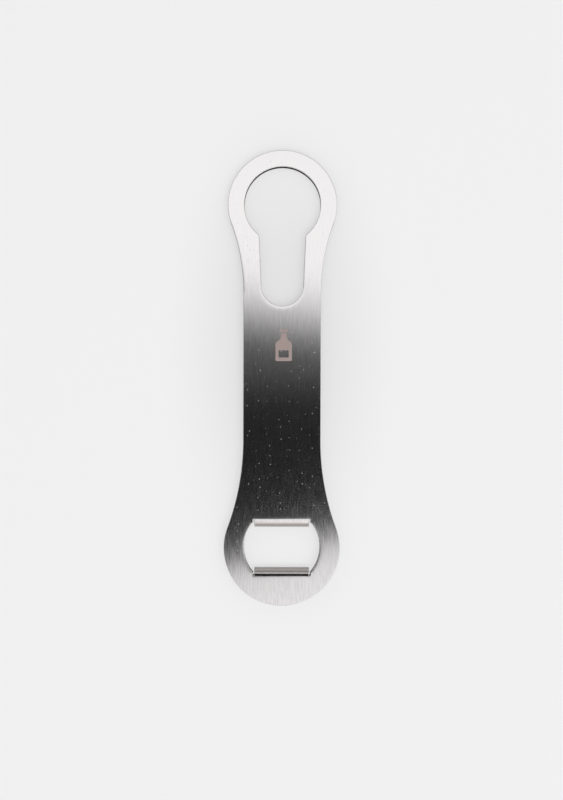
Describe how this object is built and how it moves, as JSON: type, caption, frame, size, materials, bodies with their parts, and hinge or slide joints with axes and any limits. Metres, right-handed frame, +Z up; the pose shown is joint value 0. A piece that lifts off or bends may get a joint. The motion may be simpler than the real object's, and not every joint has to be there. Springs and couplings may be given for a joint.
{
  "type": "bottle opener",
  "caption": "Flat bar-blade bottle opener in brushed sheet steel, with a lipped cap hole in its broad head and a keyhole for lifting pour spouts in its other head.",
  "frame": {"origin": "centre of the blade's outline, at the height of the lowest edges of the cap hole's lips", "axes": "+Y along the blade towards the keyhole head, +Z up out of the marked face, +X to the right"},
  "size_m": [0.0454, 0.178, 0.0033],
  "materials": {
    "brushed_steel": "stainless steel, brushed along the blade"
  },
  "bodies": {
    "root": {"opener_plate": "brushed_steel"}
  },
  "joints": []
}
